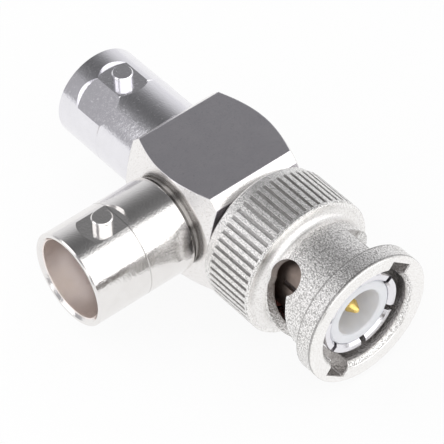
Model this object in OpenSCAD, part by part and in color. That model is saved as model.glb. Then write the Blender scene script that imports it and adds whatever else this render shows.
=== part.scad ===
// Bayonet coaxial T adapter: a plug and a jack in line, and a second jack at right angles.
// The three axes cross in the middle of a short square bar. All sizes are in millimetres.

/* [Body] */
// Width across the flats of the square bar
body_af = 12.15; // [11.5:0.05:13]
// Diameter that the bar's four long corners are turned to
body_corner_d = 15.92; // [15.2:0.02:16.6]
// Length of the bar, along the branch jack's axis
body_len = 11.7; // [11:0.1:13]
// Angle of the chamfer turned on the bar's two ends
body_chamfer = 30; // [20:1:40]
// Bore that runs through the bar for the line's insulators
core_bore_d = 6.6; // [6.4:0.1:7]
// Diameter of the assembly hole that the end cap closes
cap_d = 4.4; // [3:0.1:5]
// Thickness of the end cap
cap_t = 1.2; // [0.8:0.1:2]

/* [Jacks] */
// Outside diameter of both jack shells
jack_d = 9.65; // [9.5:0.05:9.7]
// Bore at the mouth of both jacks
jack_bore_d = 8.15; // [8.1:0.01:8.2]
// Distance from the crossing of the axes to the through jack's mouth
through_reach = 17.9; // [17:0.1:20]
// Distance from the crossing of the axes to the branch jack's mouth
branch_reach = 17.45; // [17:0.05:20]
// Depth of the wide bore, from the mouth to the reference plane
jack_bore_depth = 8.4; // [8:0.1:9]
// Chamfer inside the mouth
jack_mouth_chamfer = 0.33; // [0.1:0.01:0.45]
// Diameter of the undercut where a shell meets the bar
undercut_d = 8.9; // [8.7:0.05:9.2]
// Width of that undercut on the branch jack
undercut_w = 0.55; // [0.4:0.05:0.9]
// Width of that undercut on the through jack
through_undercut_w = 0.25; // [0.15:0.05:0.6]
// Diameter of the thin rib in the middle of the branch jack's undercut
rib_d = 9.3; // [9:0.05:9.5]
// Diameter of the spigot that is pressed into the bar
spigot_d = 8.4; // [8:0.1:8.6]
// Length of that spigot
spigot_len = 1.5; // [1:0.1:1.6]
// Distance from the mouth to the fine turned line round the shell
line_setback = 5.9; // [5.2:0.1:7]

/* [Bayonet lugs] */
// Diameter of a lug
lug_d = 2.06; // [1.9:0.02:2.1]
// Distance across the two lugs' ends
lug_span = 11; // [10.8:0.02:11.1]
// Distance from the mouth to the lugs' axis
lug_setback = 4.25; // [3.5:0.05:4.5]
// Diameter of the round recess milled about each lug
recess_d = 4.8; // [4:0.1:5.2]
// Distance of the recess's flat floor from the jack's axis
recess_floor = 4.5; // [4.4:0.02:4.7]
// Angle from the lug to the plain spot on the through jack
spot_angle = 41; // [35:1:90]

/* [Jack insides] */
// Diameter of the insulator's sleeve round the contact
dielectric_d = 4.82; // [4.7:0.01:4.83]
// Diameter of the insulator's seat behind the reference plane
seat_d = 6.5; // [6.2:0.1:6.7]
// Distance from the mouth to the insulator's front
dielectric_setback = 3.4; // [3:0.1:4]
// Distance from the mouth to the socket contact's front
contact_setback = 3.55; // [3.2:0.05:4.2]
// Outside diameter of the socket contact
contact_d = 2.2; // [2:0.05:2.3]
// Bore of the socket contact
socket_d = 1.37; // [1.35:0.01:1.4]
// Depth of the socket contact's bore
socket_depth = 5.6; // [5:0.1:6]
// Width of the slots between the contact's springs
finger_slot = 0.28; // [0.2:0.02:0.34]
// Length of those slots
finger_len = 4; // [3:0.1:5]
// Distance from the crossing of the axes to the insulators' inner ends
insulator_start = 3.35; // [3.3:0.05:4]

/* [Center conductor] */
// Diameter of the cross rod at the middle
rod_d = 2.6; // [2.3:0.1:3]
// Diameter of the spigots that join the contacts
joint_d = 0.8; // [0.7:0.05:0.95]
// Length of those spigots
joint_len = 1.2; // [0.8:0.1:1.6]

/* [Plug] */
// Distance from the crossing of the axes to the slotted contact's front
sleeve_reach = 20.45; // [19.5:0.05:21]
// Outside diameter of the slotted contact
sleeve_d = 8.1; // [8:0.02:8.2]
// Diameter over the ridge at the slotted contact's front
sleeve_ridge_d = 8.66; // [8.2:0.02:8.8]
// Inside diameter of the slotted contact
sleeve_bore_d = 6.96; // [6.8:0.02:7.1]
// Number of slots in that contact
sleeve_slots = 6; // [4:1:8]
// Width of a slot
sleeve_slot_w = 0.55; // [0.4:0.05:0.7]
// Length of a slot
sleeve_slot_len = 6.5; // [4:0.1:7.5]
// Angle of the first slot
sleeve_slot_angle = 35; // [0:1:59]
// Diameter of the plug body's tube behind its flange
tube_d = 9.2; // [8.8:0.1:9.4]
// Diameter of the flange that the coupling nut pulls on
flange_d = 11.5; // [11.2:0.1:11.6]
// Distance from the crossing of the axes to the flange's front
flange_front = 10.4; // [10.2:0.1:10.8]
// Thickness of that flange
flange_t = 0.7; // [0.6:0.05:0.9]
// Bore of the plug's insulator
plug_dielectric_bore = 4.9; // [4.85:0.05:5.1]
// Distance from the slotted contact's front back to the insulator's front
plug_dielectric_setback = 0.2; // [0:0.05:0.6]
// Depth of the insulator's bore
plug_dielectric_depth = 5.4; // [5:0.1:6]
// Diameter of the center pin
pin_d = 1.35; // [1.32:0.01:1.37]
// Distance from the slotted contact's front back to the pin's tip
pin_setback = 0.45; // [0.3:0.05:1.5]
// Length of the pin's pointed end
pin_point = 0.9; // [0.6:0.05:1.2]

/* [Coupling nut] */
// Distance from the crossing of the axes to the nut's front
nut_front = 21.4; // [21.2:0.05:22.4]
// Distance from the crossing of the axes to the nut's rear
nut_rear = 6.6; // [6.5:0.05:6.8]
// Diameter over the fluted ring
knurl_d = 14.36; // [14:0.02:15]
// Distance from the crossing of the axes to the fluted ring's front face
knurl_front = 13.05; // [12.8:0.05:13.2]
// Number of flutes
flutes = 56; // [40:4:72]
// Angle that the first flute is turned on by
flute_start = 2.2; // [0:0.1:6]
// Width of a flute
flute_w = 0.36; // [0.2:0.02:0.44]
// Depth of a flute
flute_depth = 0.24; // [0.15:0.01:0.3]
// Width of the smooth rim behind the flutes
rim_w = 1.05; // [0.8:0.05:1.2]
// Diameter of that rim
rim_d = 13.9; // [13.6:0.05:14]
// Width of the plain band in front of the flutes
band_w = 0.35; // [0.2:0.05:0.6]
// Diameter of the neck
neck_d = 11.7; // [11.5:0.1:12]
// Fillet between the fluted ring and the neck
neck_fillet = 0.8; // [0.2:0.05:0.9]
// Diameter of the front flange
front_d = 13.75; // [13.4:0.05:14.2]
// Thickness of the front flange
front_t = 2; // [1.8:0.1:2.4]
// Bore that takes the jack's shell
nut_bore_d = 9.86; // [9.8:0.01:9.95]
// Chamfer at the nut's mouth
nut_mouth_chamfer = 0.5; // [0.3:0.05:0.7]
// Rear chamber for the flange, the washers and the ring
chamber_d = 11.8; // [11.7:0.05:12]
// Clearance between the flange and the nut's shoulder
shoulder_gap = 0.05; // [0.02:0.01:0.1]

/* [Bayonet slots] */
// Angle from one lug entry to its locking hole
lock_turn = 90; // [80:1:100]
// Angle of the first lug entry
entry_angle = 50; // [40:1:60]
// Width of the entries
entry_w = 2.7; // [2.4:0.05:2.9]
// Depth of the entries, as a diameter
entry_d = 12.3; // [11.9:0.05:12.5]
// Width of the curved slots
cam_w = 2.4; // [2.2:0.05:2.5]
// Distance from the crossing of the axes to the curved slot where it leaves the entry
cam_front = 17; // [16.8:0.1:18]
// Distance from the crossing of the axes to the curved slot where it reaches its hole
cam_rear = 15.05; // [14.9:0.05:15.4]
// Diameter of the locking holes
lock_d = 3.3; // [2.4:0.1:3.3]
// Distance from the crossing of the axes to the locking holes
lock_place = 15.25; // [15.1:0.05:15.6]

/* [Nut suspension] */
// Thickness of the retaining ring
ring_t = 0.55; // [0.4:0.05:0.6]
// Outside diameter of the retaining ring
ring_d = 12.4; // [12.2:0.05:12.6]
// Gap in the retaining ring
ring_gap = 1.2; // [0.6:0.1:2]
// Thickness of the lip behind the retaining ring
lip_t = 0.3; // [0.25:0.05:0.4]
// Thickness of the thrust washer
washer_t = 0.25; // [0.2:0.05:0.3]
// Thickness of a wave washer
wave_t = 0.18; // [0.15:0.01:0.22]
// Number of waves in a wave washer
waves = 3; // [3:1:4]
// Outside diameter of the gasket
gasket_d = 9.6; // [9.4:0.05:9.7]
// Thickness of the gasket
gasket_t = 1.7; // [1:0.1:1.8]

/* [Hidden] */
$fn = 96;

// Clearance between pieces that are pressed or slid together
fit = 0.03;
// Clearance on the diameter between the washers and what they ride on
ride = 0.4;
// Overrun that keeps a cutter clear of the face it opens
over = 0.5;
// Width of the small bevels that break a sharp edge
bevel = 0.12;
// Width and depth of the fine turned line round a jack's shell
line_w = 0.14;
line_depth = 0.07;

body_face = body_af / 2;
body_end = body_len / 2;
rod_reach = insulator_start;
sleeve_root = flange_front - flange_t - 0.5;
plug_floor = sleeve_reach - plug_dielectric_setback - plug_dielectric_depth;
nut_shoulder = flange_front + shoulder_gap;
ring_rear = nut_rear + lip_t + shoulder_gap;
washer_rear = ring_rear + ring_t + shoulder_gap;
stack_rear = washer_rear + washer_t;
stack_front = flange_front - flange_t;
middle_t = washer_t;
wave_h = (stack_front - stack_rear - middle_t) / 2;
middle_rear = stack_rear + wave_h;
origin_shift = [(through_reach - nut_front) / 2, (branch_reach - knurl_d / 2) / 2, knurl_d / 2];

// The origin lies on the ground under the middle of the whole adapter.
module placed() {
    translate(origin_shift) children();
}

// Local z runs out along the plug, local x becomes +Y and local y becomes +Z.
module along_plug() {
    placed() rotate([90, 0, 90]) children();
}

// Local z runs out along the through jack, local y stays up.
module along_through() {
    placed() rotate([90, 0, -90]) children();
}

// Local z runs out along the branch jack, local y stays up.
module along_branch() {
    placed() rotate([90, 0, 0]) children();
}

// A turned solid from a profile of [radius, height] points
module turned(profile) {
    rotate_extrude() polygon(profile);
}

// A plain hole from one height to another
module hole(d, from, to) {
    translate([0, 0, from]) cylinder(d = d, h = to - from);
}

// A ring from one height to another
module ring(outer, inner, from, to) {
    difference() {
        hole(outer, from, to);
        hole(inner, from - over, to + over);
    }
}

// The square bar, turned at its corners and chamfered at both ends
module bar() {
    corner_r = body_corner_d / 2;
    chamfer_len = (corner_r - body_face) * tan(body_chamfer);
    intersection() {
        translate([-body_face, -body_face, -body_end]) cube([body_af, body_af, body_len]);
        turned([[0, -body_end], [body_face, -body_end], [corner_r, chamfer_len - body_end],
                [corner_r, body_end - chamfer_len], [body_face, body_end], [0, body_end]]);
    }
}

module tee_body() {
    color("silver") difference() {
        along_branch() bar();
        along_through() hole(core_bore_d, -body_face - over, body_face + over);
        along_branch() hole(core_bore_d, 0, body_end + over);
        along_through() hole(spigot_d + 2 * fit, body_face - spigot_len, body_face + over);
        along_plug() hole(spigot_d + 2 * fit, body_face - spigot_len, body_face + over);
        along_branch() hole(spigot_d + 2 * fit, body_end - spigot_len, body_end + over);
        along_branch() hole(cap_d + 2 * fit, -body_end - over, 0);
    }
}

module end_cap() {
    color("silver") along_branch() turned([[0, -body_end], [cap_d / 2 - bevel, -body_end],
        [cap_d / 2, bevel - body_end], [cap_d / 2, cap_t - body_end], [0, cap_t - body_end]]);
}

// The turned shell of a jack, from its spigot in the bar out to its mouth
module shell(reach, face, gap, ribbed) {
    r = jack_d / 2;
    bore_r = jack_bore_d / 2;
    plane = reach - jack_bore_depth;
    root = face + gap;
    line = reach - line_setback;
    rib = [face + gap * 0.4, face + gap * 0.6];
    turned(concat([[spigot_d / 2, face - spigot_len], [spigot_d / 2, face], [undercut_d / 2, face]],
                  ribbed ? [[undercut_d / 2, rib[0]], [rib_d / 2, rib[0]], [rib_d / 2, rib[1]],
                            [undercut_d / 2, rib[1]]] : [],
                  [[undercut_d / 2, root], [r - bevel, root], [r, root + bevel],
                   [r, line - line_w / 2], [r - line_depth, line], [r, line + line_w / 2],
                   [r, reach - bevel], [r - bevel, reach], [bore_r + jack_mouth_chamfer, reach],
                   [bore_r, reach - jack_mouth_chamfer], [bore_r, plane], [seat_d / 2 + fit, plane],
                   [seat_d / 2 + fit, face - spigot_len]]));
}

// A flat-floored round recess in the side of a shell, at an angle about its axis
module recess(reach, angle) {
    translate([0, 0, reach - lug_setback]) rotate([0, 0, angle]) rotate([0, 90, 0])
        translate([0, 0, recess_floor]) cylinder(d = recess_d, h = jack_d);
}

// The two lugs left standing on the floors of their recesses
module lugs(reach) {
    for (side = [90, 270]) {
        translate([0, 0, reach - lug_setback]) rotate([0, 0, side]) rotate([0, 90, 0]) {
            translate([0, 0, recess_floor - bevel]) cylinder(d = lug_d, h = lug_span / 2 - recess_floor);
            translate([0, 0, lug_span / 2 - bevel]) cylinder(d1 = lug_d, d2 = lug_d - 2 * bevel, h = bevel);
        }
    }
}

module jack_shell(reach, face, gap, ribbed, spots) {
    difference() {
        shell(reach, face, gap, ribbed);
        for (side = concat([90, 270], spots)) recess(reach, side);
    }
    lugs(reach);
}

module through_jack_shell() {
    color("silver") along_through() jack_shell(through_reach, body_face, through_undercut_w, false,
        [90 - spot_angle]);
}

module branch_jack_shell() {
    color("silver") along_branch() jack_shell(branch_reach, body_end, undercut_w, true, []);
}

// A jack's insulator: a seat behind the reference plane and a sleeve round the contact
module jack_insulator(reach) {
    plane = reach - jack_bore_depth;
    bore_r = contact_d / 2 + fit;
    turned([[bore_r, insulator_start], [seat_d / 2, insulator_start], [seat_d / 2, plane],
            [dielectric_d / 2, plane], [dielectric_d / 2, reach - dielectric_setback - bevel],
            [dielectric_d / 2 - bevel, reach - dielectric_setback], [bore_r, reach - dielectric_setback]]);
}

module through_jack_insulator() {
    color("white") along_through() jack_insulator(through_reach);
}

module branch_jack_insulator() {
    color("white") along_branch() jack_insulator(branch_reach);
}

// A slotted socket contact whose bore opens at the front
module socket_contact(reach, rear) {
    front = reach - contact_setback;
    difference() {
        turned([[0, rear], [contact_d / 2, rear], [contact_d / 2, front - bevel],
                [contact_d / 2 - bevel, front], [0, front]]);
        hole(socket_d, front - socket_depth, front + over);
        translate([-finger_slot / 2, -contact_d, front - finger_len])
            cube([finger_slot, 2 * contact_d, finger_len + over]);
    }
}

module through_socket_contact() {
    color("gold") along_through() difference() {
        socket_contact(through_reach, rod_reach);
        hole(joint_d + 2 * fit, rod_reach - over, rod_reach + joint_len + fit);
    }
}

module branch_socket_contact() {
    color("gold") along_branch() {
        socket_contact(branch_reach, rod_d / 2);
        hole(joint_d, rod_d / 2 - joint_len + fit, rod_d / 2 + over);
    }
}

module center_conductor() {
    color("gold") difference() {
        union() {
            along_plug() hole(rod_d, -rod_reach, rod_reach);
            along_plug() hole(joint_d, -rod_reach - joint_len, rod_reach + joint_len);
        }
        along_branch() hole(joint_d + 2 * fit, rod_d / 2 - joint_len, rod_d);
        along_branch() hole(contact_d + 2 * fit, rod_d / 2, rod_d);
    }
}

// The plug's body: spigot, tube and flange
module plug_body() {
    bore_r = seat_d / 2 + fit;
    color("silver") along_plug() turned([[bore_r, body_face - spigot_len], [spigot_d / 2, body_face - spigot_len],
        [spigot_d / 2, body_face], [tube_d / 2, body_face], [tube_d / 2, stack_front],
        [flange_d / 2 - bevel, stack_front], [flange_d / 2, stack_front + bevel],
        [flange_d / 2, flange_front - bevel], [flange_d / 2 - bevel, flange_front],
        [sleeve_d / 2 + fit, flange_front], [sleeve_d / 2 + fit, sleeve_root], [bore_r, sleeve_root]]);
}

// The slotted sleeve, seated in the plug's body
module outer_contact() {
    r = sleeve_d / 2;
    ridge_r = sleeve_ridge_d / 2;
    bore_r = sleeve_bore_d / 2;
    color("silver") along_plug() difference() {
        turned([[bore_r, sleeve_root], [r, sleeve_root], [r, sleeve_reach - 2], [ridge_r, sleeve_reach - 0.9],
                [ridge_r, sleeve_reach - bevel], [ridge_r - bevel, sleeve_reach],
                [bore_r + 0.25, sleeve_reach], [bore_r, sleeve_reach - 0.25]]);
        for (i = [0 : sleeve_slots - 1]) {
            rotate([0, 0, sleeve_slot_angle + i * 360 / sleeve_slots])
                translate([0, -sleeve_slot_w / 2, sleeve_reach - sleeve_slot_len])
                    cube([sleeve_ridge_d, sleeve_slot_w, sleeve_slot_len + over]);
        }
    }
}

module body_insulator() {
    color("white") along_plug() ring(seat_d, contact_d + 2 * fit, insulator_start, sleeve_root);
}

// The plug's cup-shaped insulator
module plug_insulator() {
    r = sleeve_bore_d / 2 - fit;
    front = sleeve_reach - plug_dielectric_setback;
    mouth_r = plug_dielectric_bore / 2;
    neck_r = contact_d / 2 + fit;
    color("white") along_plug() turned([[neck_r, sleeve_root], [r, sleeve_root], [r, front - bevel],
        [r - bevel, front], [mouth_r + bevel, front], [mouth_r, front - bevel], [mouth_r, plug_floor],
        [neck_r, plug_floor]]);
}

module plug_pin() {
    tip = sleeve_reach - pin_setback;
    r = pin_d / 2;
    color("gold") along_plug() difference() {
        turned([[0, rod_reach], [contact_d / 2, rod_reach], [contact_d / 2, plug_floor], [r, plug_floor],
                [r, tip - pin_point], [r / 2.4, tip - bevel], [r / 4, tip], [0, tip]]);
        hole(joint_d + 2 * fit, rod_reach - over, rod_reach + joint_len + fit);
    }
}

module gasket() {
    color("brown") along_plug() ring(gasket_d, sleeve_d + 2 * fit, flange_front, flange_front + gasket_t);
}

// The fluted ring's outline
module fluted_outline() {
    r = knurl_d / 2;
    difference() {
        circle(r = r);
        for (i = [0 : flutes - 1]) {
            rotate(flute_start + (i + 0.5) * 360 / flutes) translate([r - flute_depth, -flute_w / 2]) square([1, flute_w]);
        }
    }
}

// Outside of the nut: rim, fluted ring, neck and front flange
module nut_outside() {
    r = knurl_d / 2;
    neck_r = neck_d / 2;
    front_r = front_d / 2;
    front_rear = nut_front - front_t;
    flutes_rear = nut_rear + rim_w;
    turned([[0, nut_rear], [rim_d / 2 - 0.25, nut_rear], [rim_d / 2, nut_rear + 0.25],
            [rim_d / 2, flutes_rear + bevel], [0, flutes_rear + bevel]]);
    translate([0, 0, flutes_rear]) linear_extrude(knurl_front - band_w - flutes_rear) fluted_outline();
    turned(concat([[0, knurl_front - band_w - bevel], [r - flute_depth, knurl_front - band_w - bevel],
                   [r, knurl_front - band_w], [r, knurl_front - bevel], [r - bevel, knurl_front]],
                  [for (a = [0 : 15 : 90]) [neck_r + neck_fillet * (1 - sin(a)), knurl_front + neck_fillet * (1 - cos(a))]],
                  [[neck_r, front_rear], [front_r - bevel, front_rear], [front_r, front_rear + bevel],
                   [front_r, nut_front - bevel], [front_r - bevel, nut_front], [0, nut_front]]));
}

// Inside of the nut: chamber, ring groove, jack bore and mouth
module nut_inside() {
    hole(chamber_d, nut_rear - over, nut_shoulder);
    hole(ring_d + ride, nut_rear + lip_t, washer_rear);
    hole(nut_bore_d, nut_shoulder - over, nut_front + over);
    translate([0, 0, nut_front - nut_mouth_chamfer])
        cylinder(d1 = nut_bore_d, d2 = nut_bore_d + 4 * nut_mouth_chamfer, h = 2 * nut_mouth_chamfer);
}

// The curved part of a bayonet slot in short straight lengths: a slope, then a level landing
module curved_slot() {
    step = 15;
    steps = lock_turn / step;
    mean_r = (neck_d + nut_bore_d) / 4;
    slope = atan((cam_front - cam_rear) / (mean_r * (lock_turn - step) * PI / 180));
    len = neck_d * tan(step / 2) / cos(slope) + 0.4;
    for (i = [0 : steps - 1]) {
        climb = (i + 0.5) / (steps - 1);
        rotate([0, 0, -(i + 0.5) * step])
            translate([mean_r, 0, i < steps - 1 ? cam_front + (cam_rear - cam_front) * climb : cam_rear])
                rotate([i < steps - 1 ? slope : 0, 0, 0]) cube([2.4, len, cam_w], center = true);
    }
}

// One bayonet slot: entry groove, curved slot and locking hole
module bayonet_slot() {
    inner = nut_bore_d / 2 - 0.7;
    translate([inner, -entry_w / 2, cam_front])
        cube([entry_d / 2 - inner, entry_w, nut_front - cam_front + over]);
    translate([inner, 0, cam_front]) rotate([0, 90, 0]) cylinder(d = entry_w - 0.1, h = entry_d / 2 - inner);
    curved_slot();
    rotate([0, 0, -lock_turn]) translate([inner, 0, lock_place]) rotate([0, 90, 0]) cylinder(d = lock_d, h = 3);
}

module coupling_nut() {
    color("lightgray") along_plug() difference() {
        nut_outside();
        nut_inside();
        for (side = [0, 180]) rotate([0, 0, entry_angle + side]) bayonet_slot();
    }
}

// The sprung ring that snaps into the nut's groove
module retaining_ring() {
    color("dimgray") along_plug() difference() {
        ring(ring_d, tube_d + ride, ring_rear, ring_rear + ring_t);
        translate([0, -ring_gap / 2, ring_rear - over]) cube([ring_d, ring_gap, ring_t + 2 * over]);
    }
}

module thrust_washer() {
    color("dimgray") along_plug() ring(chamber_d - ride, tube_d + ride, washer_rear, washer_rear + washer_t);
}

module middle_washer() {
    color("dimgray") along_plug() ring(chamber_d - ride, tube_d + ride, middle_rear, middle_rear + middle_t);
}

// A washer bent into waves between two heights
module wave_washer(from, height, phase) {
    steps = 72;
    outer = (chamber_d - ride) / 2;
    inner = (tube_d + ride) / 2;
    swing = (height - wave_t) / 2;
    function lift(i) = from + swing * (1 - cos(i * 360 * waves / steps + phase));
    points = [for (i = [0 : steps - 1]) let (a = i * 360 / steps, z = lift(i))
              for (p = [[inner, z], [outer, z], [outer, z + wave_t], [inner, z + wave_t]])
              [p[0] * cos(a), p[0] * sin(a), p[1]]];
    faces = [for (i = [0 : steps - 1]) let (a = 4 * i, b = 4 * ((i + 1) % steps))
             for (k = [0 : 3]) let (m = (k + 1) % 4)
             for (tri = [[a + k, b + k, b + m], [a + k, b + m, a + m]]) tri];
    polyhedron(points, faces);
}

module rear_wave_washer() {
    color("dimgray") along_plug() wave_washer(stack_rear, wave_h, 0);
}

module front_wave_washer() {
    color("dimgray") along_plug() wave_washer(middle_rear + middle_t, wave_h, 180);
}

tee_body();
end_cap();
through_jack_shell();
branch_jack_shell();
through_jack_insulator();
branch_jack_insulator();
through_socket_contact();
branch_socket_contact();
center_conductor();
plug_body();
outer_contact();
body_insulator();
plug_insulator();
plug_pin();
gasket();
coupling_nut();
retaining_ring();
thrust_washer();
rear_wave_washer();
middle_washer();
front_wave_washer();
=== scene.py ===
# Looks for the bayonet coaxial T adapter: materials, studio, camera.
import bpy
import math
from mathutils import Matrix, Vector


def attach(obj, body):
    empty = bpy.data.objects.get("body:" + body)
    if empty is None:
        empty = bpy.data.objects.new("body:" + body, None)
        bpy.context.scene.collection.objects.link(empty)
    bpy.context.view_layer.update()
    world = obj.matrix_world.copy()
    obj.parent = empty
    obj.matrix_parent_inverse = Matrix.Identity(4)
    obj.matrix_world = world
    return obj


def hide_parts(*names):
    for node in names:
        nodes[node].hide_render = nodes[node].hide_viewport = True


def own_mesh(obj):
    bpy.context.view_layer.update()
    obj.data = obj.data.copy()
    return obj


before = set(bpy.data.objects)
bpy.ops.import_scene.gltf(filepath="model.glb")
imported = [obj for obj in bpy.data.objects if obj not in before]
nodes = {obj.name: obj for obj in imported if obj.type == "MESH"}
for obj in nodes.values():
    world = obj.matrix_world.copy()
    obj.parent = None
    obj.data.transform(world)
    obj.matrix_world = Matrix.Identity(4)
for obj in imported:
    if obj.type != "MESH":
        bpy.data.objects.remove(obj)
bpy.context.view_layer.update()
MM = 0.001

# The point where the three axes cross, in the row frame.
CROSS = Vector((-1.75, 5.135, 7.18)) * MM


# Node helpers

class Mat:
    """A material with short calls for the nodes used here."""

    def __init__(self, name):
        self.m = bpy.data.materials.new(name)
        self.m.use_nodes = True
        self.t = self.m.node_tree
        self.t.nodes.clear()
        self.out = self.t.nodes.new("ShaderNodeOutputMaterial")
        self.b = self.t.nodes.new("ShaderNodeBsdfPrincipled")
        self.t.links.new(self.b.outputs[0], self.out.inputs[0])
        self._pos = None

    def node(self, kind, ins=None, **props):
        n = self.t.nodes.new(kind)
        for k, v in props.items():
            setattr(n, k, v)
        for k, v in (ins or {}).items():
            self.feed(n.inputs[k], v)
        return n

    def feed(self, socket, v):
        if isinstance(v, bpy.types.NodeSocket):
            self.t.links.new(v, socket)
        else:
            socket.default_value = v

    def set(self, **kw):
        for k, v in kw.items():
            self.feed(self.b.inputs[k.replace("_", " ")], v)

    def math(self, op, a, b=0.0, c=None, clamp=False):
        n = self.node("ShaderNodeMath", operation=op, use_clamp=clamp)
        self.feed(n.inputs[0], a)
        self.feed(n.inputs[1], b)
        if c is not None:
            self.feed(n.inputs[2], c)
        return n.outputs[0]

    def pos(self):
        """Position in millimetres from the crossing of the axes, on the rest pose's own coordinates."""
        if self._pos is None:
            tc = self.node("ShaderNodeTexCoord")
            sub = self.node("ShaderNodeVectorMath", {0: tc.outputs["Object"], 1: tuple(CROSS)},
                            operation="SUBTRACT")
            sc = self.node("ShaderNodeVectorMath", {0: sub.outputs[0]}, operation="SCALE")
            sc.inputs["Scale"].default_value = 1000.0
            self._pos = sc.outputs[0]
            sep = self.node("ShaderNodeSeparateXYZ", {0: self._pos})
            self.x, self.y, self.z = sep.outputs
        return self._pos

    def stretch(self, v, scale):
        n = self.node("ShaderNodeVectorMath", {0: v, 1: scale}, operation="MULTIPLY")
        return n.outputs[0]

    def noise(self, v, scale, detail=2.0, rough=0.5, distortion=0.0):
        n = self.node("ShaderNodeTexNoise", {"Vector": v, "Scale": scale, "Detail": detail,
                                             "Roughness": rough, "Distortion": distortion})
        return n.outputs["Fac"]

    def cells(self, v, scale, what="Distance"):
        n = self.node("ShaderNodeTexVoronoi", {"Vector": v, "Scale": scale})
        return n.outputs[what]

    def ramp(self, v, stops):
        n = self.node("ShaderNodeValToRGB", {"Fac": v})
        e = n.color_ramp.elements
        while len(e) < len(stops):
            e.new(0.5)
        for el, (p, c) in zip(e, stops):
            el.position = p
            el.color = (*c, 1) if isinstance(c, tuple) else (c, c, c, 1)
        return n.outputs["Color"]

    def span(self, v, lo, hi, a=0.0, b=1.0):
        n = self.node("ShaderNodeMapRange", {"Value": v, "From Min": lo, "From Max": hi,
                                             "To Min": a, "To Max": b}, clamp=True)
        return n.outputs[0]

    def mix(self, f, a, b):
        n = self.node("ShaderNodeMix", data_type="RGBA")
        self.feed(n.inputs[0], f)
        self.feed(n.inputs[6], a if isinstance(a, bpy.types.NodeSocket) else (*a, 1))
        self.feed(n.inputs[7], b if isinstance(b, bpy.types.NodeSocket) else (*b, 1))
        return n.outputs[2]

    def bump(self, height, strength, dist_mm, normal=None):
        n = self.node("ShaderNodeBump", {"Height": height, "Strength": strength, "Distance": dist_mm * MM})
        if normal is not None:
            self.feed(n.inputs["Normal"], normal)
        return n.outputs[0]

    def rounded(self, radius_mm):
        """The normal with the sharp edges rounded a little."""
        return self.node("ShaderNodeBevel", {"Radius": radius_mm * MM}, samples=6).outputs[0]

    def radius(self, axis):
        """Distance from the axis that runs along x or y."""
        self.pos()
        a, b = (self.y, self.z) if axis == "x" else (self.x, self.z)
        return self.math("SQRT", self.math("ADD", self.math("MULTIPLY", a, a), self.math("MULTIPLY", b, b)))


# Bar: satin nickel plate on a drawn and turned bar

def bar_material():
    k = Mat("bar_nickel")
    p = k.pos()
    k.radius("y")
    grain = k.noise(p, 9.0, 4.0, 0.65)
    drawn = k.noise(k.stretch(p, (14.0, 0.5, 14.0)), 1.0, 2.0, 0.5)
    turned = k.noise(k.stretch(p, (0.6, 22.0, 0.6)), 1.0, 2.0, 0.5)
    cloud = k.noise(p, 0.5, 2.0, 0.5)
    tone = k.mix(cloud, (0.75, 0.73, 0.775), (0.83, 0.805, 0.84))
    tone = k.mix(k.span(grain, 0.58, 0.70), tone, (0.56, 0.55, 0.57))
    # The turned ends and corners, which lie inside the flats' planes
    outer = k.math("MAXIMUM", k.math("ABSOLUTE", k.x), k.math("ABSOLUTE", k.z))
    lathe = k.span(outer, 6.07, 6.02)
    specks = k.span(k.noise(p, 6.0, 3.0, 0.7), 0.56, 0.66)
    tone = k.mix(lathe, tone, k.mix(specks, (0.90, 0.88, 0.87), (0.66, 0.63, 0.60)))
    k.set(Base_Color=tone, Metallic=1.0)
    k.set(Roughness=k.math("ADD", k.span(drawn, 0.3, 0.7, 0.12, 0.22), k.math("MULTIPLY", lathe, 0.08)))
    n = k.bump(drawn, 0.10, 0.02, k.rounded(0.14))
    n = k.bump(turned, 0.06, 0.02, n)
    n = k.bump(k.math("MULTIPLY", grain, k.math("ADD", 1.0, k.math("MULTIPLY", lathe, 2.0))), 0.10, 0.02, n)
    k.set(Normal=n)
    return k.m


# Bright nickel plate on turned pieces, with fine rings about the piece's own axis

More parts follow.
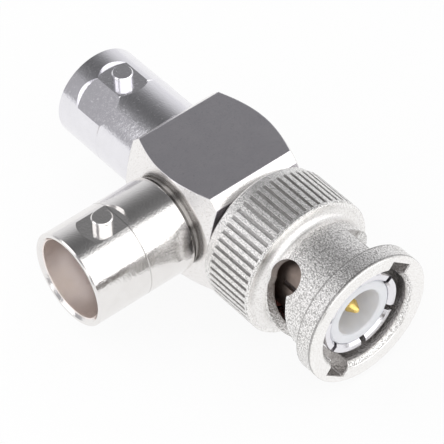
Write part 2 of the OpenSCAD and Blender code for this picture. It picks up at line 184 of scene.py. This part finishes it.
def bright_material(name, axis):
    k = Mat(name)
    p = k.pos()
    along = (26.0, 0.6, 0.6) if axis == "x" else (0.6, 26.0, 0.6)
    rings = k.noise(k.stretch(p, along), 1.0, 3.0, 0.6)
    grain = k.noise(p, 5.0, 2.0, 0.55)
    cloud = k.noise(p, 0.8, 3.0, 0.55)
    if axis == "x":
        tone = k.mix(cloud, (0.79, 0.78, 0.81), (0.86, 0.85, 0.885))
        haze = k.span(k.noise(p, 3.6, 5.0, 0.75), 0.44, 0.68, 0.0, 0.20)
    else:
        tone = k.mix(cloud, (0.80, 0.78, 0.765), (0.87, 0.855, 0.845))
        haze = k.span(k.noise(p, 6.0, 2.0, 0.6), 0.48, 0.66, 0.0, 0.10)
    r = k.radius(axis)
    bore = k.math("MULTIPLY", k.span(r, 4.20, 4.12), k.span(r, 3.6, 3.7))
    if axis == "x":
        # The slotted sleeve stays bright at its front; where the nut covers it, its colour is painted dark as shade
        # and it is rougher
        bore = k.math("MULTIPLY", bore, k.span(k.x, 18.2, 17.2))
    if axis == "y":
        # Painted shade in the undercut beside the bar, and a thin dark line round the shell behind the lug recess
        undercut_shade_and_line = k.math("MULTIPLY", k.span(k.y, -6.46, -6.40), k.span(r, 4.78, 4.70))
        line = k.span(k.math("ABSOLUTE", k.math("ADD", k.y, 11.55)), 0.08, 0.06)
        line = k.math("MULTIPLY", k.math("MULTIPLY", line, k.span(r, 4.10, 4.20)), 0.3)
        undercut_shade_and_line = k.math("MAXIMUM", undercut_shade_and_line, line)
        tone = k.mix(k.math("MULTIPLY", undercut_shade_and_line, 0.8), tone, (0.20, 0.19, 0.18))
    # The bore's colour: a paler tint on the branch, painted shade under the nut on the plug line
    tone = k.mix(bore, tone, (0.96, 0.88, 0.84) if axis == "y" else (0.27, 0.22, 0.195))
    k.set(Base_Color=tone, Metallic=1.0)
    rough = k.math("ADD", k.span(grain, 0.35, 0.7, 0.05, 0.12), haze)
    k.set(Roughness=k.math("ADD", rough, k.math("MULTIPLY", bore, 0.30)))
    n = k.bump(rings, 0.06, 0.02)
    n = k.bump(grain, 0.55, 0.02, n)
    k.set(Normal=n)
    return k.m


# Coupling nut: grainy die casting under nickel plate, smoother on its machined faces

def cast_material():
    k = Mat("nut_casting")
    p = k.pos()
    r = k.radius("x")
    x = k.x
    grit = k.noise(p, 7.0, 3.0, 0.7)
    cell = k.cells(p, 5.2)
    grain = k.noise(p, 7.0, 2.0, 0.6)
    fine = k.noise(p, 14.0, 2.0, 0.6)
    patch = k.noise(p, 0.7, 2.0, 0.5)
    front = k.span(x, 21.25, 21.35)
    ledge = k.math("MULTIPLY", k.math("MULTIPLY", k.span(x, 12.95, 13.02), k.span(x, 13.3, 13.1)),
                   k.span(r, 6.35, 6.65))
    fillet = k.math("MULTIPLY", k.math("MULTIPLY", k.span(x, 12.95, 13.02), k.span(x, 14.3, 13.8)),
                    k.span(r, 6.85, 6.65))
    smooth = k.math("MAXIMUM", front, k.math("MULTIPLY", k.math("MAXIMUM", ledge, fillet), 0.8))
    rough_part = k.math("SUBTRACT", 1.0, k.math("MULTIPLY", smooth, 0.92))
    light = k.mix(patch, (0.93, 0.915, 0.90), (1.0, 0.99, 0.98))
    dark = k.mix(rough_part, (0.90, 0.88, 0.86), (0.47, 0.46, 0.45))
    dark = k.mix(k.span(x, 12.9, 12.7), dark, (0.66, 0.65, 0.64))
    tone = k.mix(k.span(grain, 0.40, 0.54), dark, light)
    # Painted shade in the crease where the neck meets the flange
    painted_crease_shade = k.math("MULTIPLY", k.math("MULTIPLY", k.span(x, 18.85, 19.4), k.span(x, 19.6, 19.45)),
                    k.span(r, 6.3, 6.1))
    tone = k.mix(k.math("MULTIPLY", painted_crease_shade, 0.6), tone, (0.15, 0.145, 0.14))
    # Grey lines along the flange's two edges
    edge = k.math("MULTIPLY", k.math("MULTIPLY", k.span(x, 21.04, 21.10), k.span(x, 21.32, 21.26)),
                  k.span(r, 6.60, 6.68))
    rear_edge = k.math("MULTIPLY", k.math("MULTIPLY", k.span(x, 19.42, 19.47), k.span(x, 19.66, 19.58)),
                       k.span(r, 6.60, 6.68))
    edge = k.math("ADD", k.math("MULTIPLY", edge, 0.6), k.math("MULTIPLY", rear_edge, 0.55))
    tone = k.mix(edge, tone, (0.18, 0.175, 0.17))
    # Painted shade in the grooves between the knurl's lands
    painted_flute_shade = k.math("MULTIPLY", k.math("MULTIPLY", k.span(x, 7.6, 7.75), k.span(x, 12.75, 12.65)),
                   k.span(r, 7.12, 7.0))
    tone = k.mix(k.math("MULTIPLY", painted_flute_shade, 0.55), tone, (0.16, 0.15, 0.145))
    # Painted shade: the bore and the two entry grooves are darker than the outside
    angle = math.radians(50.0)
    off = k.math("ABSOLUTE", k.math("SUBTRACT", k.math("MULTIPLY", k.z, math.cos(angle)),
                                    k.math("MULTIPLY", k.y, math.sin(angle))))
    entry = k.math("MULTIPLY", k.math("MULTIPLY", k.span(off, 1.45, 1.38), k.span(r, 6.3, 6.2)),
                   k.math("MULTIPLY", k.span(x, 15.5, 15.6), k.span(x, 21.36, 21.2)))
    bore = k.math("MAXIMUM", entry, k.math("MULTIPLY", k.span(r, 5.15, 5.0), k.span(x, 21.1, 20.9)))
    tone = k.mix(k.math("MULTIPLY", bore, 0.62), tone, (0.34, 0.315, 0.295))
    k.set(Base_Color=tone)
    k.set(Metallic=0.93)
    haze = k.math("ADD", 0.15, k.math("MULTIPLY", fillet, 0.22))
    k.set(Roughness=k.math("ADD", haze, k.math("MULTIPLY", rough_part, k.span(fine, 0.3, 0.7, 0.0, 0.12))))
    h = k.math("ADD", k.math("MULTIPLY", grit, 0.7), k.math("MULTIPLY", cell, 0.5))
    h = k.math("MULTIPLY", h, rough_part)
    n = k.bump(h, 1.0, 0.062, k.rounded(0.06))
    n = k.bump(fine, 0.25, 0.02, n)
    k.set(Normal=n)
    return k.m


def steel_material():
    k = Mat("spring_steel_dark")
    p = k.pos()
    rings = k.noise(k.stretch(p, (3.0, 9.0, 9.0)), 1.0, 3.0, 0.6)
    k.set(Base_Color=k.mix(rings, (0.22, 0.20, 0.18), (0.34, 0.32, 0.30)), Metallic=1.0)
    k.set(Roughness=k.span(rings, 0.3, 0.7, 0.28, 0.45))
    k.set(Normal=k.bump(rings, 0.15, 0.02))
    return k.m


def polymer_material():
    k = Mat("white_polymer")
    p = k.pos()
    cloud = k.noise(p, 1.4, 3.0, 0.5)
    fine = k.noise(p, 12.0, 3.0, 0.6)
    tone = k.mix(cloud, (0.89, 0.91, 0.99), (0.93, 0.945, 1.0))
    # Painted shade: the plug's insulator is painted near black behind the sleeve's slots, where the nut covers it
    outside = k.math("MULTIPLY", k.span(k.radius("x"), 3.36, 3.42),
                     k.math("MULTIPLY", k.span(k.x, 9.5, 10.0), k.span(k.x, 18.4, 17.6)))
    k.set(Base_Color=k.mix(outside, tone, (0.16, 0.13, 0.12)), Metallic=0.0)
    k.b.inputs["Subsurface Weight"].default_value = 0.5
    k.b.inputs["Subsurface Radius"].default_value = (1.0, 1.0, 1.0)
    k.b.inputs["Subsurface Scale"].default_value = 0.8 * MM
    k.set(Roughness=k.span(fine, 0.3, 0.7, 0.38, 0.5))
    k.set(Normal=k.bump(fine, 0.05, 0.02))
    return k.m


def gold_material():
    k = Mat("gold_plate")
    p = k.pos()
    rings = k.noise(k.stretch(p, (16.0, 1.0, 1.0)), 1.0, 2.0, 0.5)
    k.set(Base_Color=k.mix(rings, (0.80, 0.56, 0.16), (0.92, 0.70, 0.26)), Metallic=1.0)
    k.set(Roughness=k.span(rings, 0.3, 0.7, 0.12, 0.22))
    k.set(Normal=k.bump(rings, 0.08, 0.02))
    return k.m


def gasket_material():
    k = Mat("gasket_silicone")
    p = k.pos()
    fine = k.noise(p, 9.0, 3.0, 0.6)
    k.set(Base_Color=k.mix(fine, (0.30, 0.075, 0.06), (0.38, 0.11, 0.085)), Metallic=0.0)
    k.set(Roughness=k.span(fine, 0.3, 0.7, 0.42, 0.6))
    k.set(Normal=k.bump(fine, 0.12, 0.03))
    return k.m


bright_x = bright_material("bright_nickel_plug_line", "x")
bright_y = bright_material("bright_nickel_branch", "y")
bar = bar_material()
cast = cast_material()
steel = steel_material()
polymer = polymer_material()
gold = gold_material()
gasket = gasket_material()
LOOKS = {
    "tee_body": bar, "end_cap": bar,
    "through_jack_shell": bright_x, "plug_body": bright_x, "outer_contact": bright_x,
    "branch_jack_shell": bright_y,
    "through_jack_insulator": polymer, "branch_jack_insulator": polymer,
    "body_insulator": polymer, "plug_insulator": polymer,
    "through_socket_contact": gold, "branch_socket_contact": gold, "center_conductor": gold, "plug_pin": gold,
    "gasket": gasket, "coupling_nut": cast,
    "retaining_ring": steel, "thrust_washer": steel, "middle_washer": steel,
    "rear_wave_washer": steel, "front_wave_washer": steel,
}
for name, material in LOOKS.items():
    for s in nodes[name].material_slots:
        s.material = material


# Wave washers: springs, each copied with its own mesh and attached to the body whose face it leans on; the original
# is hidden


def add_spring(name, body):
    source = nodes[name]
    piece = bpy.data.objects.new(name + "_spring", source.data.copy())
    bpy.context.scene.collection.objects.link(piece)
    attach(piece, body)
    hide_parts(name)
    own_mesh(piece)


add_spring("rear_wave_washer", "nut_carrier")
add_spring("front_wave_washer", "adapter")


# Floor: pale, with the object's shadow kept

def floor_material():
    k = Mat("floor_white")
    k.set(Base_Color=(0.93, 0.93, 0.93, 1), Roughness=1.0)
    k.b.inputs["Specular IOR Level"].default_value = 0.0
    glow = k.node("ShaderNodeEmission", {"Color": (1, 1, 1, 1), "Strength": 1.0})
    seen = k.node("ShaderNodeLightPath")
    sharp = k.math("MAXIMUM", seen.outputs["Is Glossy Ray"], seen.outputs["Is Transmission Ray"])
    shown = k.math("MAXIMUM", seen.outputs["Is Camera Ray"], sharp)
    mix = k.node("ShaderNodeMixShader", {0: k.math("MULTIPLY", shown, 0.90),
                                         1: k.b.outputs[0], 2: glow.outputs[0]})
    k.t.links.new(mix.outputs[0], k.out.inputs[0])
    return k.m


me = bpy.data.meshes.new("floor")
side = 0.5
me.from_pydata([(-side, -side, -0.00002), (side, -side, -0.00002), (side, side, -0.00002), (-side, side, -0.00002)],
               [], [(0, 1, 2, 3)])
floor = bpy.data.objects.new("floor", me)
bpy.context.scene.collection.objects.link(floor)
me.materials.append(floor_material())


# World: an even white room with a dark opening overhead and a bright panel on the plug's side

def build_world():
    w = bpy.data.worlds.new("studio")
    bpy.context.scene.world = w
    w.use_nodes = True
    t = w.node_tree
    t.nodes.clear()

    def node(kind, ins=None, **props):
        n = t.nodes.new(kind)
        for k, v in props.items():
            setattr(n, k, v)
        for k, v in (ins or {}).items():
            feed(n.inputs[k], v)
        return n

    def feed(s, v):
        if isinstance(v, bpy.types.NodeSocket):
            t.links.new(v, s)
        else:
            s.default_value = v

    def calc(op, a, b=0.0):
        n = node("ShaderNodeMath", operation=op)
        feed(n.inputs[0], a)
        feed(n.inputs[1], b)
        return n.outputs[0]

    def span(v, lo, hi):
        n = node("ShaderNodeMapRange", {"Value": v, "From Min": lo, "From Max": hi}, clamp=True,
                 interpolation_type="SMOOTHSTEP")
        return n.outputs[0]

    def mix(f, a, b):
        n = node("ShaderNodeMix", data_type="RGBA")
        feed(n.inputs[0], f)
        feed(n.inputs[6], a)
        feed(n.inputs[7], b)
        return n.outputs[2]

    d = node("ShaderNodeTexCoord").outputs["Generated"]
    sep = node("ShaderNodeSeparateXYZ", {0: d})
    x, y, z = sep.outputs
    c = Vector((-0.30, 0.10, 0.95)).normalized()
    dot = node("ShaderNodeVectorMath", {0: d, 1: tuple(c)}, operation="DOT_PRODUCT").outputs["Value"]
    ramp = node("ShaderNodeValToRGB", {"Fac": dot})
    stops = [(0.0, 0.96), (0.28, 0.88), (0.45, 0.80), (0.61, 0.66), (0.73, 0.48), (0.80, 0.34),
             (0.86, 0.25), (0.92, 0.18), (0.97, 0.125), (1.0, 0.11)]
    el = ramp.color_ramp.elements
    while len(el) < len(stops):
        el.new(0.5)
    for e, (p, v) in zip(el, stops):
        e.position = p
        e.color = (v, v, v * 1.02, 1)
    env = ramp.outputs["Color"]
    # Grey wall on the branch's side, above the table
    wall = calc("MULTIPLY", span(y, -0.36, -0.52), span(z, 0.02, 0.10))
    env = mix(calc("MULTIPLY", wall, 0.92), env, (0.42, 0.415, 0.43, 1))
    # Bright panel on the plug's side
    panel = calc("MULTIPLY", span(x, 0.08, 0.36), span(z, 0.14, 0.26))
    env = mix(panel, env, (1.7, 1.7, 1.7, 1))
    # Dark gap between the panel and the table
    gap = calc("MULTIPLY", calc("MULTIPLY", span(z, 0.24, 0.14), span(z, -0.14, -0.04)), span(x, 0.35, 0.6))
    env = mix(gap, env, (0.22, 0.205, 0.195, 1))
    path = node("ShaderNodeLightPath")
    sharp = calc("MAXIMUM", path.outputs["Is Glossy Ray"], path.outputs["Is Transmission Ray"])
    plain = node("ShaderNodeBackground", {"Color": (1, 1, 1, 1), "Strength": 0.95})
    mirror = node("ShaderNodeBackground", {"Color": env, "Strength": 1.0})
    seen = node("ShaderNodeBackground", {"Color": (1, 1, 1, 1), "Strength": 1.0})
    m1 = node("ShaderNodeMixShader", {0: sharp, 1: plain.outputs[0], 2: mirror.outputs[0]})
    m2 = node("ShaderNodeMixShader", {0: path.outputs["Is Camera Ray"], 1: m1.outputs[0], 2: seen.outputs[0]})
    out = node("ShaderNodeOutputWorld")
    t.links.new(m2.outputs[0], out.inputs[0])


build_world()


# Lamp: a small soft panel that the nut and the bar's near chamfer mirror

def add_panel(center_mm, target_mm, width_mm, height_mm, radiance):
    lamp = bpy.data.lights.new("side_panel", "AREA")
    lamp.shape = "RECTANGLE"
    lamp.size = width_mm * MM
    lamp.size_y = height_mm * MM
    lamp.energy = radiance * math.pi * lamp.size * lamp.size_y
    ob = bpy.data.objects.new("side_panel", lamp)
    bpy.context.scene.collection.objects.link(ob)
    ob.visible_camera = False
    place = CROSS + Vector(center_mm) * MM
    facing = (CROSS + Vector(target_mm) * MM - place).normalized()
    side_dir = Vector((1.0, 0.0, 0.0))
    side_dir = (side_dir - side_dir.dot(facing) * facing).normalized()
    top_dir = side_dir.cross(facing)
    basis = Matrix((side_dir, top_dir, -facing)).transposed()
    if basis.determinant() < 0:
        basis = Matrix((side_dir, -top_dir, -facing)).transposed()
    ob.matrix_world = Matrix.Translation(place) @ basis.to_4x4()


add_panel((-26.0, -52.0, 42.0), (14.0, -3.0, 4.0), 36.0, 76.0, 1.0)


# Camera at the photograph's viewing angle

back = Vector((0.53984, -0.43157, 0.72272)).normalized()
azimuth = math.radians(38.64)
roll = math.radians(-1.585)
flat_right = Vector((math.sin(azimuth), math.cos(azimuth), 0.0))
flat_up = back.cross(flat_right)
right = math.cos(roll) * flat_right + math.sin(roll) * flat_up
up = back.cross(right)
cam = bpy.data.cameras.new("camera")
cam.sensor_width = 36.0
cam.lens = 2932.3 / 444 * 36.0
cam.clip_start = 0.01
cam.clip_end = 10.0
camera = bpy.data.objects.new("camera", cam)
bpy.context.scene.collection.objects.link(camera)
eye = CROSS + Vector((149.932, -119.206, 196.046)) * MM
turn = Matrix((right, up, back)).transposed().to_4x4()
camera.matrix_world = Matrix.Translation(eye) @ turn
bpy.context.scene.camera = camera
bpy.context.scene.view_settings.view_transform = "Standard"
